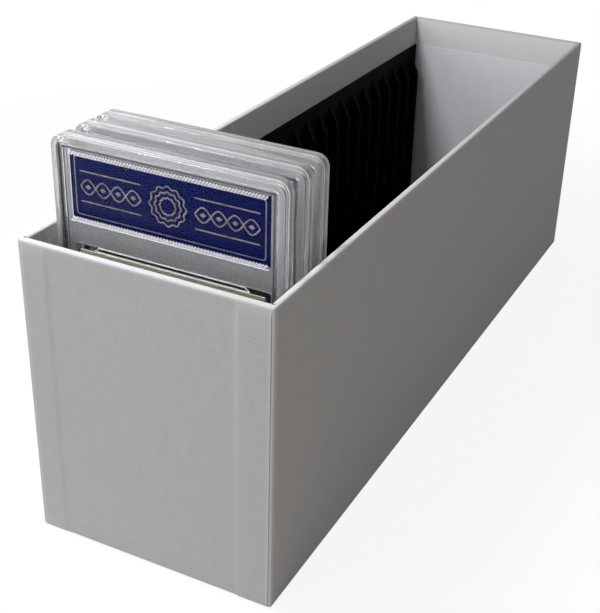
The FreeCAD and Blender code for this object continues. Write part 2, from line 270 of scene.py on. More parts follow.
# %% Fold profile
def fold_profile():
    """(inset, height) of the rows, from the turn-under up the wall and over the rim to the turn-in."""
    arc = quarter(FOLD, FOLD_STEPS)
    rows = [(TURN_UNDER, UNDER)]
    rows += [(FOLD - rise, UNDER + FOLD - run) for rise, run in arc]
    heights = [FLAP_FOOT] + steps(FLAT_MARGIN, RIM - FLAT_MARGIN, FLAT_ROWS)
    rows += [(0, height) for height in heights + [RIM - LAP_TOP, RIM - FLAP_TOP_DROP]]
    rows += [(FOLD - run, RIM - FOLD + rise) for rise, run in arc]
    rows.append((SETBACK, RIM))
    rows += [(WALL - FOLD + rise, RIM - FOLD + run) for rise, run in arc]
    rows.append((WALL, TURN_IN_LOW))
    return rows


def hollow(row, spot, size, depth):
    """How far the flat of an outer face sinks, in swells of about this size."""
    inset, height = row
    flat = smooth(0, FLAT_EASE, height) * smooth(0, FLAT_EASE, RIM - height) if inset == 0 else 0
    return depth * (0.5 + 0.5 * noise.noise(Vector(spot) / size)) * flat


# %% How pale a fold or turn-in is: wear and painted light
# Paler outer folds: a worn coat and a painted highlight.
WORN_AND_LIT = 0.15
LAP_WORN_AND_LIT = 0.05
# Painted light: the turn-ins inside the box are painted paler, those on the end walls most.
PAINTED_LIGHT_SIDE = 0.25
PAINTED_LIGHT_END = 0.5
PALE_FROM = 1.6
PALE_FULL = 0.5
PALE_INSIDE = 0.3


def wear_and_highlight(inset, height):
    """A little paler on the outer folds at the rim, 0 on the flats: worn coat and a painted highlight."""
    outside = 1 - smooth(WALL - PALE_INSIDE, WALL, inset)
    return WORN_AND_LIT * smooth(RIM - PALE_FROM, RIM - PALE_FULL, height) * outside


def turned_in(inset, height):
    """Whether a row lies on the turn-in inside the box, which is painted paler as painted light."""
    return inset > WALL - CLOSE and height > RIM / 2


print("rows of a sheet:", len(fold_profile()))


# %% Sheet of paper
def sheet_piece(name, columns, place, present, paleness, node):
    """Folds a grid into paper; place gives a corner's spot, present says which faces exist."""
    rows = fold_profile()
    bm = bmesh.new()
    # Each corner carries how pale it is: wear and painted highlight on folds, painted light on turn-ins.
    paleness_layer = bm.verts.layers.float.new("wear_and_light")
    grid = [[bm.verts.new(place(row, column)) for column in columns] for row in rows]
    for row, line in zip(rows, grid):
        for column, vert in zip(columns, line):
            vert[paleness_layer] = paleness(row, column)
    for i in range(len(rows) - 1):
        for j in range(len(columns) - 1):
            if present(rows[i], rows[i + 1], columns[j], columns[j + 1]):
                bm.faces.new((grid[i][j], grid[i][j + 1], grid[i + 1][j + 1], grid[i + 1][j]))
    bmesh.ops.delete(bm, geom=[vert for vert in bm.verts if not vert.link_faces], context="VERTS")
    bmesh.ops.remove_doubles(bm, verts=bm.verts, dist=CLOSE)
    bmesh.ops.dissolve_degenerate(bm, dist=CLOSE, edges=bm.edges)
    bmesh.ops.recalc_face_normals(bm, faces=bm.faces)
    middle = Vector((0, 0, RIM / 2))
    if sum(face.normal.dot(face.calc_center_median() - middle) * face.calc_area() for face in bm.faces) < 0:
        bmesh.ops.reverse_faces(bm, faces=bm.faces)
    draft = placed(name + "_draft", mesh_of(name, bm))
    thick = draft.modifiers.new("paper", "SOLIDIFY")
    thick.thickness = PAPER * MM
    thick.offset = -1
    finished(name, settled(draft), [wrap_paper], "box", [node])


# %% [markdown]
# A side paper goes under the base, up the long wall, over the rim and a little way down inside. At both
# ends it wraps round the corner as a flap on the end wall. Its columns are therefore of three kinds: on
# the flap, round the corner, and along the wall. The wall is a little hollow in places, as glued paper
# is.

# %% Side papers
SIDE_COLUMNS = 36
SIDE_SWELL = 55
SIDE_HOLLOW = 0.12
SIDE_NOISE = 40


def side_paper(name, side, flap, node):
    """Wrap of one long wall; side is -1 for left and 1 for right."""
    flap_spots = [flap, mixed(SETBACK, flap, 0.5), SETBACK, FOLD]
    turns = [90 - 90 * i / FOLD_STEPS for i in range(FOLD_STEPS + 1)]
    front = [("flap", spot, -1) for spot in flap_spots] + [("corner", turn, -1) for turn in turns]
    wall = [("wall", spot, 1) for spot in steps(-SIDE_END + WALL, SIDE_END - WALL, SIDE_COLUMNS)]
    rear = [column[:2] + (1,) for column in reversed(front)]

    def place(row, column):
        inset, height = row
        kind, spot, end = column
        if kind == "wall":
            sunk = hollow(row, (side * SIDE_NOISE, spot, height), SIDE_SWELL, SIDE_HOLLOW)
            return (side * (HALF_WIDTH - inset - sunk), spot, height)
        if kind == "corner":
            reach = FOLD - min(inset, FOLD)
            turn = math.radians(spot)
            deeper = max(inset - FOLD, 0)
            x = HALF_WIDTH - FOLD + reach * math.cos(turn) - deeper
            y = SIDE_END - FOLD + reach * math.sin(turn)
            return (side * x, end * y, height)
        return (side * (HALF_WIDTH - spot), end * (SIDE_END - min(inset, FOLD)), height)

    def present(low, high, near, far):
        kinds = {near[0], far[0]}
        inset = max(low[0], high[0])
        if kinds == {"wall"}:
            return True
        if "wall" in kinds:
            return inset <= SETBACK + CLOSE or low[1] < RIM / 2 and inset > SETBACK
        if "flap" not in kinds:
            return inset <= FOLD + CLOSE
        on_lap = max(spot for kind, spot, end in (near, far) if kind == "flap") <= SETBACK + CLOSE
        covered = low[1] >= FLAP_FOOT - CLOSE and high[1] <= RIM - FLAP_TOP_DROP + CLOSE
        return inset <= FOLD + CLOSE and (on_lap or covered)

    def paleness(row, column):
        # Turn-ins get painted light; folds, corners and flaps a worn coat with a painted highlight.
        if turned_in(*row):
            return PAINTED_LIGHT_SIDE
        return max(wear_and_highlight(*row), {"wall": 0, "corner": WORN_AND_LIT, "flap": LAP_WORN_AND_LIT}[column[0]])

    sheet_piece(name, front + wall + rear, place, present, paleness, node)


side_paper("left_side_paper", -1, LEFT_FLAP, "left_cover")
side_paper("right_side_paper", 1, RIGHT_FLAP, "right_cover")


# %% [markdown]
# An end paper lies over the flaps of the side papers. Over each flap it stands proud by one thickness,
# and past the flap's edge it comes down to the board within 3 mm, steeply at first: the soft upright
# ridges near both edges of the front. It stops 1.2 mm short of the corners, and its turn-in is only as
# wide as the inside of the box. A bump could fake the ridges, but a real step also shows from the side.

# %% End papers
FLAP_EASE = 0.8
RAMP = 2.8
RAMP_LEAD = 0.2
RAMP_COLUMNS = 11
END_COLUMNS = 14
END_SWELL = 30
END_HOLLOW = 0.1
END_NOISE = 160
LAP_FADE = 3.5
LAP_GONE = 0.9
EDGE_PALE = 2.2


def end_paper(name, end, node):
    """Wrap of one end wall; end is -1 for the front and 1 for the rear."""
    inner = HALF_WIDTH - WALL
    left_start = -HALF_WIDTH + LEFT_FLAP - FLAP_EASE
    right_start = HALF_WIDTH - RIGHT_FLAP + FLAP_EASE
    spots = [SETBACK - HALF_WIDTH, -inner, mixed(-inner, left_start, 0.6)]
    spots += steps(left_start - RAMP_LEAD, left_start + RAMP, RAMP_COLUMNS)
    spots += steps(TURN_UNDER - HALF_WIDTH + 1, HALF_WIDTH - TURN_UNDER - 3, END_COLUMNS)
    spots += steps(right_start - RAMP, right_start + RAMP_LEAD, RAMP_COLUMNS)
    spots += [mixed(right_start, inner, 0.4), inner, HALF_WIDTH - SETBACK]

    def on_flap(spot):
        """1 over a flap, and down to 0 past its edge, steeply at first."""
        past = min(spot - left_start, right_start - spot) / RAMP
        return (1 - min(max(past, 0), 1)) ** 2

    def place(row, spot):
        inset, height = row
        lap = PAPER * on_flap(spot) * (1 - smooth(RIM - LAP_FADE, RIM - LAP_GONE, height))
        sunk = hollow(row, (spot, end * END_NOISE, height), END_SWELL, END_HOLLOW) * (1 - on_flap(spot))
        return (spot, end * (SIDE_END + lap - inset - sunk), height)

    def present(low, high, near, far):
        reach = max(abs(near), abs(far))
        if low[1] < RIM / 2 and low[0] > FOLD:
            return reach <= HALF_WIDTH - TURN_UNDER
        turned = high[0] > WALL - FOLD + CLOSE and high[1] > RIM / 2
        return reach <= inner + CLOSE if turned else True

    def paleness(row, spot):
        # Turn-ins get painted light; outer folds and the edges by the corners a worn coat with a painted
        # highlight.
        if turned_in(*row):
            return PAINTED_LIGHT_END
        edge = smooth(HALF_WIDTH - EDGE_PALE, HALF_WIDTH - SETBACK, abs(spot))
        return max(wear_and_highlight(*row), WORN_AND_LIT * edge)

    sheet_piece(name, spots, place, present, paleness, node)


end_paper("front_end_paper", -1, "front_cover")
end_paper("rear_end_paper", 1, "rear_cover")


# %% [markdown]
# The rails are black polystyrene, moulded against a spark-eroded tool: matt, with a fine even grain and
# hardly a shine. The floor card, the tapes and the hidden boards are pressed fibres: a matt ground with
# flecks drawn out along the sheet. Their CAD shapes are right, so they only need these finishes.

# %% Black moulded plastic
def moulded_black():
    made, tree, place = new_material("spark_eroded_black_polystyrene")
    grain = put(tree, "ShaderNodeTexNoise", {"Vector": place, "Scale": per_mm(0.3), "Detail": 2})
    scuff, tone = mottle(tree, place, 14, 4, "#040304", "#080708")
    gloss = put(tree, "ShaderNodeMapRange", {"Value": scuff, "To Min": 0.55, "To Max": 0.7})
    relief = put(tree, "ShaderNodeBump", {"Height": grain, "Strength": 0.3, "Distance": 0.03 * MM})
    shader = put(tree, "ShaderNodeBsdfPrincipled", {
        "Base Color": tone, "Roughness": gloss, "IOR": 1.55, "Specular IOR Level": 0.02, "Normal": relief})
    put(tree, "ShaderNodeOutputMaterial", {"Surface": shader})
    return made


black_plastic = moulded_black()
print("rails:", black_plastic.name)


# %% Fibre boards and cards
def fibre_board(name, plain, fleck, fibre, roughness):
    """Pressed fibres, with flecks of a size in millimetres drawn out along the sheet."""
    made, tree, place = new_material(name)
    drawn = put(tree, "ShaderNodeMapping", {"Vector": place, "Scale": (1, 0.25, 1)})
    fibres, tone = mottle(tree, drawn, fibre, 6, fleck, plain, (0.35, 0.6))
    relief = put(tree, "ShaderNodeBump", {"Height": fibres, "Strength": 0.4, "Distance": 0.05 * MM})
    shader = put(tree, "ShaderNodeBsdfPrincipled", {
        "Base Color": tone, "Roughness": roughness, "Specular IOR Level": 0.3, "Normal": relief})
    put(tree, "ShaderNodeOutputMaterial", {"Surface": shader})
    return made


chipboard = fibre_board("pressed_chipboard", "#A89D88", "#7F745F", 0.9, 0.85)
kraft = fibre_board("calendered_kraft_tape", "#A9865C", "#8F6D45", 0.6, 0.7)
black_card = fibre_board("black_faced_card", "#121112", "#0B0A0B", 0.7, 0.8)

CAD_FINISHES = {
    "base_board": chipboard, "left_side_board": chipboard, "right_side_board": chipboard,
    "front_end_board": chipboard, "rear_end_board": chipboard, "corner_stays": kraft,
    "bottom_sheet": wrap_paper, "front_lining": lining_paper, "rear_lining": lining_paper,
    "floor_liner": black_card,
}
for node_name, finish in CAD_FINISHES.items():
    dress(node_name, finish)
print("CAD nodes dressed:", len(CAD_FINISHES))


# %% [markdown]
# Ribs along a rail, ridges on a slab and lozenges on a label are one thing to Geometry Nodes: a small
# part, copied along a line. An Array modifier would do for one row, but this tree also joins several rows
# to a carrier, makes the copies real and hands out the finish.

# %% A tree that lays copies in a row
def row_tree():
    tree = bpy.data.node_groups.new("copies_in_a_row", "GeometryNodeTree")
    for name, kind in (("Carrier", "Geometry"), ("Part", "Object"), ("Copies", "Int"), ("First", "Vector"),
                       ("Step", "Vector"), ("Finish", "Material")):
        tree.interface.new_socket(name, in_out="INPUT", socket_type=f"NodeSocket{kind}")
    tree.interface.new_socket("Row", in_out="OUTPUT", socket_type="NodeSocketGeometry")
    given = put(tree, "NodeGroupInput").outputs
    spots = put(tree, "GeometryNodeMeshLine", {
        "Count": given["Copies"], "Start Location": given["First"], "Offset": given["Step"]})
    part = put(tree, "GeometryNodeObjectInfo", {"Object": given["Part"]})
    copies = put(tree, "GeometryNodeInstanceOnPoints", {
        "Points": spots, "Instance": part.outputs["Geometry"]})
    both = put(tree, "GeometryNodeJoinGeometry", {"Geometry": copies})
    tree.links.new(given["Carrier"], both.inputs["Geometry"])
    real = put(tree, "GeometryNodeRealizeInstances", {"Geometry": both})
    coated = put(tree, "GeometryNodeSetMaterial", {"Geometry": real, "Material": given["Finish"]})
    put(tree, "NodeGroupOutput", {"Row": coated})
    return tree


ROW = row_tree()
INPUTS = {item.name: item.identifier for item in ROW.interface.items_tree if item.in_out == "INPUT"}
print("inputs of the tree:", list(INPUTS))


def rows_on(carrier, part, finish, rows):
    """A carrier's mesh with rows of copies, each (count, first, step) in millimetres."""
    single = placed("part", mesh_of("part", part))
    draft = placed("carrier", mesh_of("carrier", carrier))
    for count, first, step in rows:
        modifier = draft.modifiers.new("row", "NODES")
        modifier.node_group = ROW
        modifier[INPUTS["Part"]] = single
        modifier[INPUTS["Copies"]] = count
        modifier[INPUTS["First"]] = [value * MM for value in first]
        modifier[INPUTS["Step"]] = [value * MM for value in step]
        modifier[INPUTS["Finish"]] = finish
    mesh = settled(draft)
    bpy.data.objects.remove(single)
    return mesh


# %% [markdown]
# A rail is a thin plate with upright ribs. Each rib tapers towards its crest, so that it leaves the
# mould, and its top slopes into the plate, so that a slab finds its slot. One rib is drawn with rounded
# crest edges and copied along the plate, so that a change to it reaches them all.

# %% One rib and its plate
RIB_COUNT = 26
RIB_PITCH = 12
RIB_ROOT = 3
RIB_CREST = 2.2
RIB_DEPTH = 4.4
RIB_EASE = 0.5
RIB_SUNK = 0.3
EASE_STEPS = 4
RAIL_FLAT = 5
RAIL_SLOPE = 9
PLATE_EASE = 0.25
rail_low, rail_high = corners("left_slot_rail")
RAIL_BACK = abs(rail_low.x)
PLATE = rail_high.x - RIB_DEPTH - rail_low.x


def prism(outline, level):
    """An upright solid from an outline of (x, y, top) down to a level."""
    bm = bmesh.new()
    low = [bm.verts.new((x, y, level)) for x, y, top in outline]
    high = [bm.verts.new((x, y, top)) for x, y, top in outline]
    bridge(bm, low, high)
    bm.faces.new(high)
    bm.faces.new(list(reversed(low)))
    bmesh.ops.recalc_face_normals(bm, faces=bm.faces)
    return bm


def one_rib(side):
    """One rib at the middle of the rail; side is -1 for left and 1 for right."""
    half = [(-RIB_SUNK, RIB_ROOT / 2), (0, RIB_ROOT / 2)]
    for rise, run in quarter(RIB_EASE, EASE_STEPS):
        half.append((RIB_DEPTH - RIB_EASE + rise, RIB_CREST / 2 - RIB_EASE + run))
    profile = half + [(depth, -width) for depth, width in reversed(half)]
    top = rail_high.z - RAIL_FLAT
    outline = []
    for depth, width in profile:
        drop = RAIL_SLOPE * max(depth, 0) / RIB_DEPTH
        outline.append((side * (RAIL_BACK - PLATE - depth), width, top - drop))
    return prism(outline, rail_low.z)


def plate(side):
    back = side * RAIL_BACK
    face = side * (RAIL_BACK - PLATE)
    near, far, top = rail_low.y, rail_high.y, rail_high.z
    bm = prism([(back, near, top), (face, near, top), (face, far, top), (back, far, top)], rail_low.z)
    bmesh.ops.bevel(bm, geom=bm.edges[:], offset=PLATE_EASE, segments=2, profile=0.5, affect="EDGES")
    return bm


print("plate", round(PLATE, 3), "mm thick, slots", RIB_PITCH - RIB_ROOT, "mm wide at the root")


# %% Slot rails
first_rib = (0, -(RIB_COUNT - 1) * RIB_PITCH / 2, 0)
for rail_name, side in (("left", -1), ("right", 1)):
    ribs = [(RIB_COUNT, first_rib, (0, RIB_PITCH, 0))]
    mesh = rows_on(plate(side), one_rib(side), black_plastic, ribs)
    finished(f"{rail_name}_ribbed_rail", mesh, [black_plastic], "box",
             [f"{rail_name}_slot_rail"])


# %% [markdown]
# A slab is two halves of polystyrene, welded round a label and a card. One plastic, but five finishes:
# four that the tools and years of handling leave, and a dark grey one on bevels and groove flanks that is
# painted shade. One function makes them from a share of milky light, and that much less goes straight
# through. Shadow rays find it transparent, because clear plastic hardly shades what lies behind it. The
# surroundings are white, and a full mirror image of them would veil the slab, so shine, its strength, is
# kept low.

# %% Five finishes of polystyrene
def polystyrene(name, tint, shade, milky, roughness, grain_mm, depth_mm, shine):
    """milky is the share of light that is scattered, shine the strength of the mirror image."""
    made, tree, place = new_material(name)
    grain, tone = mottle(tree, place, grain_mm, 2, shade, tint, (0.35, 0.65))
    gloss = put(tree, "ShaderNodeMapRange", {
        "Value": grain, "To Min": roughness * 0.6, "To Max": roughness * 1.4})
    relief = put(tree, "ShaderNodeBump", {"Height": grain, "Strength": 0.3, "Distance": depth_mm * MM})
    shader = put(tree, "ShaderNodeBsdfPrincipled", {
        "Base Color": tone, "Roughness": gloss, "IOR": 1.49,
        "Transmission Weight": 1 - milky, "Specular Tint": linear(shine), "Normal": relief})
    through = put(tree, "ShaderNodeBsdfTransparent", {"Color": [mixed(0.94, 0.6, milky)] * 3 + [1]})
    path = put(tree, "ShaderNodeLightPath")
    both = put(tree, "ShaderNodeMixShader", {0: path.outputs["Is Shadow Ray"], 1: shader, 2: through})
    put(tree, "ShaderNodeOutputMaterial", {"Surface": both})
    return made


CLEAR, FROSTED, SCUFFED, BRIGHT, PAINTED_DARK = range(5)
SLAB_FINISHES = [
    # A polished tool leaves windows and wells as clear as glass.
    polystyrene("polished_clear_polystyrene", "#FBFCFC", "#F8F9F9", 0, 0.02, 3, 0.002, "#202020"),
    # A spark-eroded tool leaves the face between label and card grey, like frost.
    polystyrene("spark_eroded_polystyrene", "#A6A7AA", "#87888B", 0.4, 0.6, 0.5, 0.03, "#606060"),
    # Rims knock against each other: a little milky with fine scuffs.
    polystyrene("scuffed_polystyrene", "#F0F1F3", "#E8E9EB", 0.1, 0.08, 0.4, 0.003, "#606060"),
    # Ridges, window steps and bars are small and sharp, and stand out as bright lines.
    polystyrene("knurled_polystyrene", "#F2F3F5", "#E6E7E9", 0.42, 0.2, 0.6, 0.01, "#A0A0A0"),
    # Bevels and groove flanks get a dark grey tint: painted shade, dark lines between the pale rims.
    polystyrene("painted_shade_polystyrene", "#75767B", "#636469", 0.02, 0.2, 0.8, 0.01, "#282828"),
]
print("finishes of a slab:", [finish.name for finish in SLAB_FINISHES])


# %% [markdown]
# A half slab is drawn as loops of a rounded rectangle, each further in or out than the last: seam, side,
# rounded edge, rim, bevel and field. Windows and wells are loops too, and flat faces with holes are
# filled between them. Four bars in the card well hold the card. Booleans could cut the same shape, but
# loops give clean faces, each with its own finish, and the closed body that clear plastic needs.

# %% Sizes of a slab, from the frame
RIM_WIDTH = 2.4
RIM_DROP = 0.7
RIM_EASE = 0.25
BEVEL = 1.5
BEVEL_EASE = 0.2
EASE_DROP = 0.06
EDGE_ROUND = 0.6
EDGE_STEPS = 5
SLAB_CORNER = 4
LEAST_CORNER = 0.4
LABEL_CORNER = 0.3
WINDOW_DROP = 0.25
WINDOW_DRAFT = 0.12
WINDOW_CORNER = 1
SEAM = 0.15
SEAM_GAP = 0.02
FACE_GAP = 0.05
FIT_GAP = 0.3
WELL_MARGIN = 2.1
BAR = 1.6
BAR_LINE = 0.4
BAR_TOP_END = 5.35
BAR_SIDE_END = 11.6
WINDOW_MARGIN = 0.5
WINDOW_OVER_CARD = 7.65
WINDOW_UNDER_CARD = 1.3
CORNER_STEPS = 6
GROOVES = (1.25, 3.1)
GROOVE_WIDTH = 0.6
GROOVE_DEPTH = 0.5

slab_low, slab_high = corners("slab_1_front_shell")
card_low, card_high = corners("slab_1_card")
label_low, label_high = corners("slab_1_label")
HALF_SLAB = slab_high.x
HALF_DEPTH = slab_high.y - slab_low.y
FIELD = HALF_DEPTH - RIM_DROP
HALF_CARD = card_high.x
HALF_LABEL = label_high.x
SLAB_MIDDLES = {number: corners(f"slab_{number}_front_shell")[1].y for number in (1, 2, 3)}
CARD_HALF_DEPTH = (card_high.y - card_low.y) / 2
LABEL_HALF_DEPTH = (label_high.y - label_low.y) / 2
print("slab", HALF_SLAB * 2, "x", slab_high.z - slab_low.z, "x", HALF_DEPTH * 2, "at", SLAB_MIDDLES)


# %% Outlines of a slab
def rounded(half, low, high, radius):
    """Points of a rounded rectangle in the slab's face, as (x, z)."""
    points = []
    for x, z, start in ((half, low, -90), (half, high, 0), (-half, high, 90), (-half, low, 180)):
        centre_x = x - math.copysign(radius, x)
        centre_z = z + radius if z == low else z - radius
        for i in range(CORNER_STEPS + 1):
            turn = math.radians(start + 90 * i / CORNER_STEPS)
            points.append((centre_x + radius * math.cos(turn), centre_z + radius * math.sin(turn)))
    return points


def inset_outline(inset):
    radius = max(SLAB_CORNER - inset, LEAST_CORNER)
    return rounded(HALF_SLAB - inset, slab_low.z + inset, slab_high.z - inset, radius)


def bars():
    """Outlines of the four bars round the card, with mitred ends."""
    outlines = []
    end = HALF_CARD - BAR_TOP_END
    for near, out in ((card_high.z + FIT_GAP, BAR), (card_low.z - FIT_GAP, -BAR)):
        outlines.append([(-end, near), (end, near), (end - BAR, near + out), (BAR - end, near + out)])
    low = card_low.z + BAR_SIDE_END
    high = card_high.z - BAR_SIDE_END
    for near, out in ((HALF_CARD + FIT_GAP, BAR), (-HALF_CARD - FIT_GAP, -BAR)):
        outlines.append([(near, low), (near + out, low + BAR), (near + out, high - BAR), (near, high)])
    return outlines


def inner_outline(points, inset):
    """A convex outline with each of its sides moved inwards."""
    middle = sum((Vector(point) for point in points), Vector((0, 0))) / len(points)
    sides = []
    for i, point in enumerate(points):
        along = (Vector(point) - Vector(points[i - 1])).normalized()
        inwards = Vector((-along.y, along.x))
        if inwards.dot(middle - Vector(point)) < 0:
            inwards.negate()
        sides.append((Vector(point) + inwards * inset, along))
    moved = []
    for i, (start, along) in enumerate(sides):
        other, across = sides[(i + 1) % len(sides)]
        reach = (other - start).cross(across) / along.cross(across)
        moved.append(tuple(start + along * reach))
    return moved


print("bars round the card:", len(bars()))


# %% Stations of the loops
def outer_stations():
    """(inset, depth) of the loops from the seam over the rim to the field."""
    stations = [(SEAM, SEAM_GAP), (0, SEAM_GAP + SEAM)]
    for rise, run in quarter(EDGE_ROUND, EDGE_STEPS):
        stations.append((EDGE_ROUND - run, HALF_DEPTH - EDGE_ROUND + rise))
    stations += [(RIM_WIDTH - RIM_EASE, HALF_DEPTH), (RIM_WIDTH, HALF_DEPTH - EASE_DROP)]
    stations += [(RIM_WIDTH + BEVEL - BEVEL_EASE, FIELD + EASE_DROP), (RIM_WIDTH + BEVEL, FIELD)]
    return stations


def weld_stations():
    """(inset, depth) of the two grooves in the weld face, which take the melt."""
    stations = []
    for inset in GROOVES:
        stations += [(inset - GROOVE_WIDTH / 2, SEAM_GAP), (inset, SEAM_GAP + GROOVE_DEPTH)]
        stations.append((inset + GROOVE_WIDTH / 2, SEAM_GAP))
    return stations


print("loops:", len(outer_stations()), "outside,", len(weld_stations()), "in the weld face")


# %% Half slabs
def half_slab(number, half, side):
    """One half of a slab; side is -1 in front and 1 behind."""
    bm = bmesh.new()
    middle = SLAB_MIDDLES[number]

    def loop(points, depth):
        return [bm.verts.new((x, middle + side * depth, z)) for x, z in points]

    def fill(finish, *loops):
        """Fills a flat face round the holes in it."""
        pairs = [(verts[i - 1], verts[i]) for verts in loops for i in range(len(verts))]
        edges = [bm.edges.get(pair) or bm.edges.new(pair) for pair in pairs]
        made = bmesh.ops.triangle_fill(bm, edges=edges, use_beauty=True, normal=(0, side, 0))
        for item in made["geom"]:
            if isinstance(item, bmesh.types.BMFace):
                item.material_index = finish

    def windows():
        """Mouths of the two sunk windows."""
        half_window = HALF_LABEL + WINDOW_MARGIN
        mouths = []
        for low, high in ((label_low.z - WINDOW_MARGIN, label_high.z + WINDOW_MARGIN),
                          (card_low.z - WINDOW_UNDER_CARD, card_high.z + WINDOW_OVER_CARD)):
            mouths.append(loop(rounded(half_window, low, high, WINDOW_CORNER), FIELD))
            pane = (half_window - WINDOW_DRAFT, low + WINDOW_DRAFT, high - WINDOW_DRAFT, WINDOW_CORNER)
            lower = loop(rounded(*pane), FIELD - WINDOW_DROP)
            bridge(bm, mouths[-1], lower, BRIGHT)
            bm.faces.new(lower)
        return mouths

    def well(half_width, low, high, radius, depth):
        """Mouth of a well and edge of its floor, with walls between."""
        mouth = loop(rounded(half_width, low, high, radius), SEAM_GAP)
        floor_edge = loop(rounded(half_width, low, high, radius), depth)
        bridge(bm, mouth, floor_edge)
        return mouth, floor_edge

    def standing_bar(outline, depth):
        """A bar from the card well's floor up to the seam; returns its foot."""
        foot = loop(outline, depth)
        head = loop(outline, SEAM_GAP)
        core = loop(inner_outline(outline, BAR_LINE), SEAM_GAP)
        bridge(bm, foot, head, BRIGHT)
        bridge(bm, head, core, BRIGHT)
        bm.faces.new(core)
        return foot

    stations = outer_stations()
    outer = [loop(inset_outline(inset), depth) for inset, depth in stations]
    # From the rim's inner edge in, the bevel is tinted dark grey: painted shade.
    for i in range(len(outer) - 1):
        bridge(bm, outer[i], outer[i + 1], PAINTED_DARK if stations[i + 1][0] >= RIM_WIDTH else SCUFFED)
    fill(CLEAR, outer[-1], *windows())

    label_mouth, label_floor = well(HALF_LABEL + FIT_GAP, label_low.z - FIT_GAP, label_high.z + FIT_GAP,
                                    LABEL_CORNER, LABEL_HALF_DEPTH + FACE_GAP)
    bm.faces.new(label_floor)
    card_depth = CARD_HALF_DEPTH + FACE_GAP
    card_mouth, card_floor = well(HALF_CARD + WELL_MARGIN, card_low.z - WELL_MARGIN,
                                  card_high.z + WELL_MARGIN, WINDOW_CORNER, card_depth)
    fill(CLEAR, card_floor, *[standing_bar(outline, card_depth) for outline in bars()])

    weld = [outer[0]] + [loop(inset_outline(inset), depth) for inset, depth in weld_stations()]
    # One flank of each weld groove is tinted dark grey: painted shade.
    for i in range(len(weld) - 1):
        bridge(bm, weld[i], weld[i + 1], PAINTED_DARK if i % 3 == 2 else SCUFFED)
    fill(FROSTED, weld[-1], label_mouth, card_mouth)

    bmesh.ops.recalc_face_normals(bm, faces=bm.faces)
    loose = [edge for edge in bm.edges if len(edge.link_faces) != 2]
    print(f"slab {number} {half} half: open edges {len(loose)}")
    name = f"slab_{number}_clear_{half}"
    finished(name, mesh_of(name, bm), SLAB_FINISHES, f"slab_{number}",
             [f"slab_{number}_{half}_shell"], sharp=25)


for number in SLAB_MIDDLES:
    half_slab(number, "front", -1)
    half_slab(number, "rear", 1)


# %% [markdown]
# Along the upper and lower edge of the label window runs a row of slanting ridges, about a millimetre
# apart: the grip that the welding tool presses on. Each is a small half-round bar with few faces, and the
# tree lays about sixty in a row. A bump would not catch the light on its flanks as they do.

# %% Ridges along the label window
RIDGE_PITCH = 1.1
RIDGE_LENGTH = 1.7
RIDGE_WIDTH = 0.66
RIDGE_HEIGHT = 0.2
RIDGE_SLANT = 50
RIDGE_REACH = 0.85
RIDGE_LIFT = 0.01
RIDGE_SIDES = 5
RIDGE_MARGIN = 0.3


def one_ridge(side):
    """A half-round bar, slanting to the right as it rises."""
    bm = bmesh.new()
    ends = []
    for end in (-1, 1):
        ring = []
        for i in range(RIDGE_SIDES):
            turn = math.radians(180 * i / (RIDGE_SIDES - 1))
            width = RIDGE_WIDTH / 2 * math.cos(turn)
            height = side * RIDGE_HEIGHT * math.sin(turn)
            ring.append(bm.verts.new((width, height, end * RIDGE_LENGTH / 2)))
        ends.append(ring)
    bridge(bm, *ends)
    for ring in ends:
        bm.faces.new(ring)
    bmesh.ops.rotate(bm, verts=bm.verts, matrix=Matrix.Rotation(math.radians(90 - RIDGE_SLANT), 3, "Y"))
    bmesh.ops.recalc_face_normals(bm, faces=bm.faces)
    return bm


ridge_count = int(2 * (HALF_LABEL - RIDGE_MARGIN) / RIDGE_PITCH)
ridge_start = -(ridge_count - 1) * RIDGE_PITCH / 2
ridge_levels = (label_high.z + WINDOW_MARGIN - RIDGE_REACH, label_low.z - WINDOW_MARGIN + RIDGE_REACH)
for number, middle in SLAB_MIDDLES.items():
    for half, side in (("front", -1), ("rear", 1)):
        face = middle + side * (FIELD - WINDOW_DROP + RIDGE_LIFT)
        rows = [(ridge_count, (ridge_start, face, level), (RIDGE_PITCH, 0, 0)) for level in ridge_levels]
        mesh = rows_on(bmesh.new(), one_ridge(side), SLAB_FINISHES[BRIGHT], rows)
        finished(f"slab_{number}_ridges_{half}", mesh, [SLAB_FINISHES[BRIGHT]], f"slab_{number}")


# %% [markdown]
# A label is a printed strip in the upper window. The front slab's is a deep blue film with silver foil
# stamped on it, the others are pale paper with a coloured frame. The strip is the CAD solid. Its print is
# a fine relief, 0.02 mm proud: bands that follow a formula, and lozenges from the tree. Drawn in nodes it
# would blur, and the foil would not stand off the film.

# %% Label film and inks
def label_film(name, plain, cloud, roughness):
    """Faint clouds and sparse specks of dust; the window in front gives the shine."""
    made, tree, place = new_material(name)
    tone = mottle(tree, place, 6, 4, cloud, plain, (0.3, 0.7))[1]
    dust = put(tree, "ShaderNodeTexVoronoi", {"Vector": place, "Scale": per_mm(5)})
    speck = put(tree, "ShaderNodeMapRange", {
        "Value": dust, "From Min": 0.02, "From Max": 0.045, "To Min": 0.5, "To Max": 0})
    colour = put(tree, "ShaderNodeMix", {
        "Factor": speck, "A": tone, "B": linear("#C9CCD8")}, data_type="RGBA")
    shader = put(tree, "ShaderNodeBsdfPrincipled", {
        "Base Color": colour, "Roughness": roughness, "Specular IOR Level": 0})
    put(tree, "ShaderNodeOutputMaterial", {"Surface": shader})
    return made


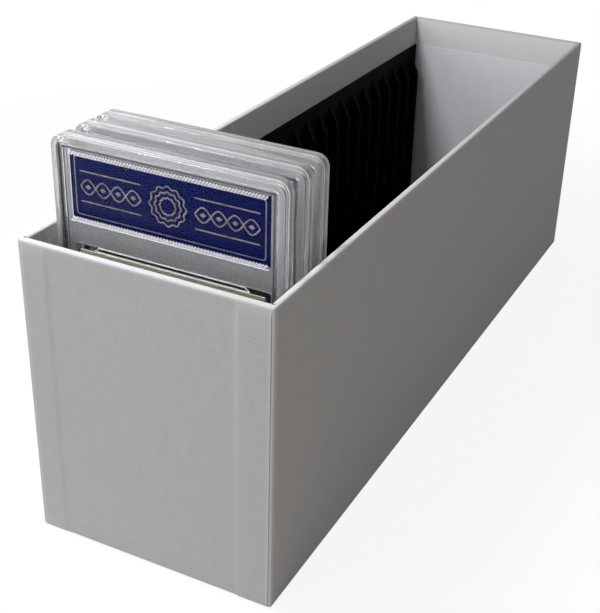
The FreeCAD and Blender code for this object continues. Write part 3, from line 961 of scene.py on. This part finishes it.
def stamped(name, plain, worn, metallic, roughness):
    """Foil or ink, a little uneven where the stamp pressed less."""
    made, tree, place = new_material(name)
    tone = mottle(tree, place, 1.5, 5, worn, plain, (0.3, 0.65))[1]
    shader = put(tree, "ShaderNodeBsdfPrincipled", {
        "Base Color": tone, "Metallic": metallic, "Roughness": roughness})
    put(tree, "ShaderNodeOutputMaterial", {"Surface": shader})
    return made


# Each label has its film, its foil or ink, and the inset and width of its frame.
LABELS = {
    1: (label_film("printed_blue_film", "#030A3E", "#020833", 0.4),
        stamped("stamped_silver_foil", "#968F88", "#635C55", 1, 0.4), 1.5, 0.35),
    2: (label_film("coated_white_paper", "#E4E2E2", "#DAD7D8", 0.5),
        stamped("printed_red_ink", "#C0343F", "#B02A38", 0, 0.5), 0.5, 1.2),
    3: (label_film("coated_grey_paper", "#CFD0D2", "#C4C5C8", 0.5),
        stamped("printed_grey_ink", "#6E7076", "#62646A", 0, 0.5), 0.5, 0.8),
}
print("label films:", [label[0].name for label in LABELS.values()])


# %% Strokes of the print
FOIL = 0.02
BAND = 0.45
LOZENGE = (1.1, 0.8)


def band(bm, points, width, level, closed=False):
    """A flat band of faces along points (x, z) at one level of y."""
    count = len(points)
    rails = ([], [])
    for i, (x, z) in enumerate(points):
        before = points[i - 1] if closed or i else points[i]
        after = points[(i + 1) % count] if closed or i + 1 < count else points[i]
        along = Vector((after[0] - before[0], after[1] - before[1])).normalized()
        for rail, reach in zip(rails, (-width / 2, width / 2)):
            rail.append(bm.verts.new((x - along.y * reach, level, z + along.x * reach)))
    bridge(bm, *rails, closed=closed)


def thicken(bm, shift):
    """Turns flat faces into thin solids along y."""
    made = bmesh.ops.extrude_face_region(bm, geom=bm.faces[:], use_keep_orig=True)
    moved = [item for item in made["geom"] if isinstance(item, bmesh.types.BMVert)]
    bmesh.ops.translate(bm, verts=moved, vec=(0, shift, 0))
    bmesh.ops.recalc_face_normals(bm, faces=bm.faces)


def lozenge(shift):
    wide, high = LOZENGE
    bm = bmesh.new()
    points = ((-wide, 0, 0), (0, 0, -high), (wide, 0, 0), (0, 0, high))
    bm.faces.new([bm.verts.new(point) for point in points])
    thicken(bm, shift)
    return bm


print("bands", BAND, "mm wide,", FOIL, "mm proud")


# %% Label prints
LABEL_MIDDLE = (label_low.z + label_high.z) / 2
FRAME_CORNER = 1
ROSETTE = 7.2
ROSETTE_RINGS = (0.86, 0.62, 0.38)
PETALS = 12
PETAL_SWING = 0.06
RING_POINTS = 144
WAVE_START = 9.5
WAVE_LENGTH = 11
WAVE_HEIGHT = 2.4
WAVE_STEPS = 48
WAVE_APART = 0.002
RULE_LEVEL = 5
LOZENGES = 4


def rosette_ring(share):
    """A ring with petals, at a share of the rosette's radius."""
    ring = []
    for i in range(RING_POINTS):
        turn = math.tau * i / RING_POINTS
        radius = ROSETTE * share * (1 + PETAL_SWING * math.cos(PETALS * turn))
        ring.append((radius * math.cos(turn), LABEL_MIDDLE + radius * math.sin(turn)))
    return ring


def wave_line(end, swing):
    """Two waves, left or right of the rosette; swing is -1 or 1."""
    line = []
    for along in steps(0, 2 * WAVE_LENGTH, WAVE_STEPS):
        height = swing * WAVE_HEIGHT * math.sin(math.tau * along / WAVE_LENGTH)
        line.append((end * (WAVE_START + along), LABEL_MIDDLE + height))
    return line


def label_print(number, half, side):
    """Frame, rosette, waves, rules and lozenges on one face of a label."""
    ink, inset, frame_width = LABELS[number][1:]
    face = SLAB_MIDDLES[number] + side * LABEL_HALF_DEPTH
    bm = bmesh.new()
    reach = inset + frame_width / 2
    frame_line = rounded(HALF_LABEL - reach, label_low.z + reach, label_high.z - reach, FRAME_CORNER)
    band(bm, frame_line, frame_width, face, closed=True)
    for share in ROSETTE_RINGS:
        band(bm, rosette_ring(share), BAND, face, closed=True)
    for end in (-1, 1):
        for swing in (-1, 1):
            band(bm, wave_line(end, swing), BAND, face - side * WAVE_APART * swing)
        for level in (LABEL_MIDDLE - RULE_LEVEL, LABEL_MIDDLE + RULE_LEVEL):
            far = WAVE_START + 2 * WAVE_LENGTH
            band(bm, [(end * WAVE_START, level), (end * far, level)], BAND, face)
    thicken(bm, side * FOIL)
    step = WAVE_LENGTH / 2
    starts = (WAVE_START + step / 2, -WAVE_START - (LOZENGES - 0.5) * step)
    rows = [(LOZENGES, (start, face, LABEL_MIDDLE), (step, 0, 0)) for start in starts]
    mesh = rows_on(bm, lozenge(side * FOIL), ink, rows)
    finished(f"slab_{number}_print_{half}", mesh, [ink], f"slab_{number}")


for number in LABELS:
    dress(f"slab_{number}_label", LABELS[number][0])
    label_print(number, "front", -1)
    label_print(number, "rear", 1)


# %% [markdown]
# The cards are the CAD solids with a printed face: a border, a fine rule and a shaded panel in front, and
# a two-tone lattice on the back. Print lies flat in the paper, so nodes can draw it, measured from the
# card's own middle. The material tells front from back by depth. The board has yellowed a little and
# unevenly, as old card does.

# %% Printed cards
CARD_BORDER = 5.2
CARD_RULE = 6.4
RULE_HALF = 0.25
LATTICE = 4


def printed_card(number, border, panel_high, panel_low, lattice):
    made, tree, place = new_material(f"printed_card_stock_{number}")
    low, high = corners(f"slab_{number}_card")
    half = (high - low) / 2 * MM
    centred = put(tree, "ShaderNodeMapping", {"Vector": place, "Location": -(low + high) / 2 * MM})
    axes = put(tree, "ShaderNodeSeparateXYZ", {"Vector": centred}).outputs
    beyond = []
    for axis, reach in (("X", half.x), ("Z", half.z)):
        size = put(tree, "ShaderNodeMath", {0: axes[axis]}, operation="ABSOLUTE")
        beyond.append(put(tree, "ShaderNodeMath", {0: size, 1: reach}, operation="SUBTRACT"))
    edge = put(tree, "ShaderNodeMath", {0: beyond[0], 1: beyond[1]}, operation="MAXIMUM")
    on_border = put(tree, "ShaderNodeMath", {0: edge, 1: -CARD_BORDER * MM}, operation="GREATER_THAN")
    on_rule = put(tree, "ShaderNodeMath", {0: edge, 1: -CARD_RULE * MM, 2: RULE_HALF * MM},
                  operation="COMPARE")
    on_back = put(tree, "ShaderNodeMath", {0: axes["Y"], 1: 0.0}, operation="GREATER_THAN")
    shade = put(tree, "ShaderNodeMapRange", {"Value": axes["Z"], "From Min": -half.z, "From Max": half.z})
    turned = put(tree, "ShaderNodeMapping", {"Vector": centred, "Rotation": (0, math.radians(45), 0)})
    weave = put(tree, "ShaderNodeTexChecker", {
        "Vector": turned, "Scale": per_mm(LATTICE), "Color1": linear(lattice), "Color2": linear(panel_low)})
    colour = linear(panel_low)
    for factor, over in ((shade, linear(panel_high)), (on_rule, linear(border)), (on_back, weave),
                         (on_border, linear(border))):
        colour = put(tree, "ShaderNodeMix", {"Factor": factor, "A": colour, "B": over}, data_type="RGBA")
    yellowed = mottle(tree, place, 9, 5, "#F2EEE2", "#FFFFFF")[1]
    aged = put(tree, "ShaderNodeMix", {"Factor": 1, "A": colour, "B": yellowed}, data_type="RGBA",
               blend_type="MULTIPLY")
    shader = put(tree, "ShaderNodeBsdfPrincipled", {
        "Base Color": aged, "Roughness": 0.5, "Specular IOR Level": 0.3})
    put(tree, "ShaderNodeOutputMaterial", {"Surface": shader})
    dress(f"slab_{number}_card", made)
    print("card", number, "dressed in", made.name)


printed_card(1, "#94907F", "#7C93A4", "#33485A", "#8C7A5E")
printed_card(2, "#1C2622", "#26332E", "#0E1412", "#3A4A44")
printed_card(3, "#E0DCD2", "#A0766A", "#4A2C2C", "#A08C84")


# %% [markdown]
# The camera stands where the photograph's camera stood: its place, turn and lens were fitted to the
# corners of the box. The picture is a little off the lens's axis, so the frame is shifted by as much.

# %% Camera
IMAGE_HEIGHT = 613
FOCAL_PIXELS = 1167.6
CAMERA_AT = Vector((180.02, -411.91, 267.08)) * MM
CAMERA_TO = Vector((15.92, -51.61, 60)) * MM
CAMERA_ROLL = 2.614
SHIFT_RIGHT = -41.6
SHIFT_UP = -18

lens = bpy.data.cameras.new("camera")
lens.sensor_fit = "VERTICAL"
lens.sensor_height = 36
lens.lens = FOCAL_PIXELS / IMAGE_HEIGHT * lens.sensor_height
lens.shift_x = SHIFT_RIGHT / IMAGE_HEIGHT
lens.shift_y = SHIFT_UP / IMAGE_HEIGHT
lens.clip_start = 0.01
camera = placed("camera", lens)
aim = (CAMERA_TO - CAMERA_AT).to_track_quat("-Z", "Y").to_matrix()
turned = aim @ Matrix.Rotation(math.radians(CAMERA_ROLL), 3, "Z")
camera.matrix_world = Matrix.Translation(CAMERA_AT) @ turned.to_4x4()
bpy.context.scene.camera = camera
print("camera with a lens of", round(lens.lens, 1), "mm")


# %% [markdown]
# The box stands on a pale floor in plain white surroundings. White all round would also light it from
# everywhere, so only rays that look at it find it white: those of the camera, of mirror images and
# through clear plastic. What lights the box is a grey sky, and the light that a warm grey table throws
# back. The floor keeps a soft shadow near the box and fades into the white further out.

# %% Floor and surroundings
FLOOR_HALF = 3000
FLOOR_DROP = 0.2
FADE_START = 160
FADE_END = 450
FADE_NEAR = 0.88


def seen(tree):
    """1 for rays from the camera, mirrored rays and rays through glass."""
    path = put(tree, "ShaderNodeLightPath").outputs
    found = path["Is Camera Ray"]
    for kind in ("Is Glossy Ray", "Is Transmission Ray"):
        found = put(tree, "ShaderNodeMath", {0: found, 1: path[kind]}, operation="MAXIMUM")
    return found


bm = bmesh.new()
bmesh.ops.create_grid(bm, x_segments=1, y_segments=1, size=FLOOR_HALF)
bmesh.ops.translate(bm, verts=bm.verts, vec=(0, 0, -FLOOR_DROP))
floor = placed("floor", mesh_of("floor", bm))
floor_paint, tree, place = new_material("pale_floor")
in_view = seen(tree)
ground = put(tree, "ShaderNodeMix", {"Factor": in_view, "A": linear("#D0C0B7"), "B": linear("#F4F4F4")},
             data_type="RGBA")
matt = put(tree, "ShaderNodeBsdfDiffuse", {"Color": ground})
away = put(tree, "ShaderNodeVectorMath", {0: place}, operation="LENGTH")
fade = put(tree, "ShaderNodeMapRange", {
    "Value": away, "From Min": FADE_START * MM, "From Max": FADE_END * MM, "To Min": FADE_NEAR, "To Max": 1},
    interpolation_type="SMOOTHSTEP")
clear = put(tree, "ShaderNodeMath", {0: in_view, 1: fade}, operation="MULTIPLY")
white = put(tree, "ShaderNodeBsdfTransparent")
thin = put(tree, "ShaderNodeMixShader", {0: clear, 1: matt, 2: white})
put(tree, "ShaderNodeOutputMaterial", {"Surface": thin})
floor.data.materials.append(floor_paint)

world = bpy.data.worlds.new("studio")
bpy.context.scene.world = world
world.use_nodes = True
tree = world.node_tree
tree.nodes.clear()
sky = put(tree, "ShaderNodeMix", {"Factor": seen(tree), "A": linear("#ADACAB"), "B": (1, 1, 1, 1)},
          data_type="RGBA")
glow = put(tree, "ShaderNodeBackground", {"Color": sky, "Strength": 1})
put(tree, "ShaderNodeOutputWorld", {"Surface": glow})
print("floor of", FLOOR_HALF * 2 * MM, "m under a sky of", world.name)


# %% [markdown]
# Three lamps stand in the studio. A small one close by, above the front left corner, makes the near rim
# the brightest and falls off along the box: its height and side come from the left wall's shadow on the
# rear wall. A large one far off lights the front, a weak one low on the right lifts its foot, and the
# right side lies in half shade. Their strengths were fitted to the papers' brightness in the photograph.

# %% Lamps
def lamp(name, at, to, size, watts):
    """A round lamp of a size in millimetres, turned towards a spot."""
    light = bpy.data.lights.new(name, "AREA")
    light.shape = "DISK"
    light.size = size * MM
    light.energy = watts
    made = placed(name, light)
    made.location = Vector(at) * MM
    made.rotation_euler = (Vector(to) - Vector(at)).to_track_quat("-Z", "Y").to_euler()
    made.visible_camera = False
    print("lamp", name, "at", at, "with", watts, "W")


lamp("front_left", (-110, -170, 360), (0, -60, 60), 90, 1.25)
lamp("far_front", (-500, -740, 350), (0, -160, 50), 600, 3.4)
lamp("low_right", (150, -600, 40), (20, -160, 20), 300, 0.3)
bpy.context.scene.view_settings.view_transform = "Standard"
